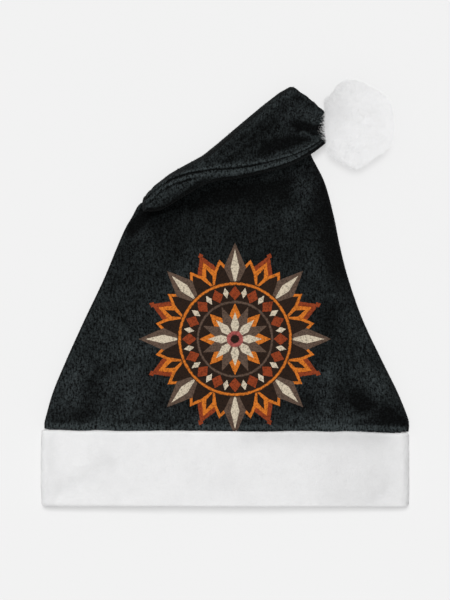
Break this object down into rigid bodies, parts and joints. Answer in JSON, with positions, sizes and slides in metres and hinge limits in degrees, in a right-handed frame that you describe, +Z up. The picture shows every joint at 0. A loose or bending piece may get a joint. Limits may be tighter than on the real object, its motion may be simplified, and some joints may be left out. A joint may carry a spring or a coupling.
{
  "type": "santa hat",
  "caption": "Black fleece Santa hat with a white plush cuff and pompom, laid flat with its tip folded over to the right.",
  "frame": {"origin": "middle of the footprint, on the surface that the hat lies on", "axes": "+X to the right seen from above, +Y from the cuff towards the folded tip, +Z up from the surface"},
  "size_m": [0.2942, 0.3444, 0.0496],
  "materials": {
    "black_fleece": "matte",
    "white_plush": "matte"
  },
  "bodies": {
    "root": {"crown": "black_fleece", "cuff": "white_plush", "pompom": "white_plush"}
  },
  "joints": []
}
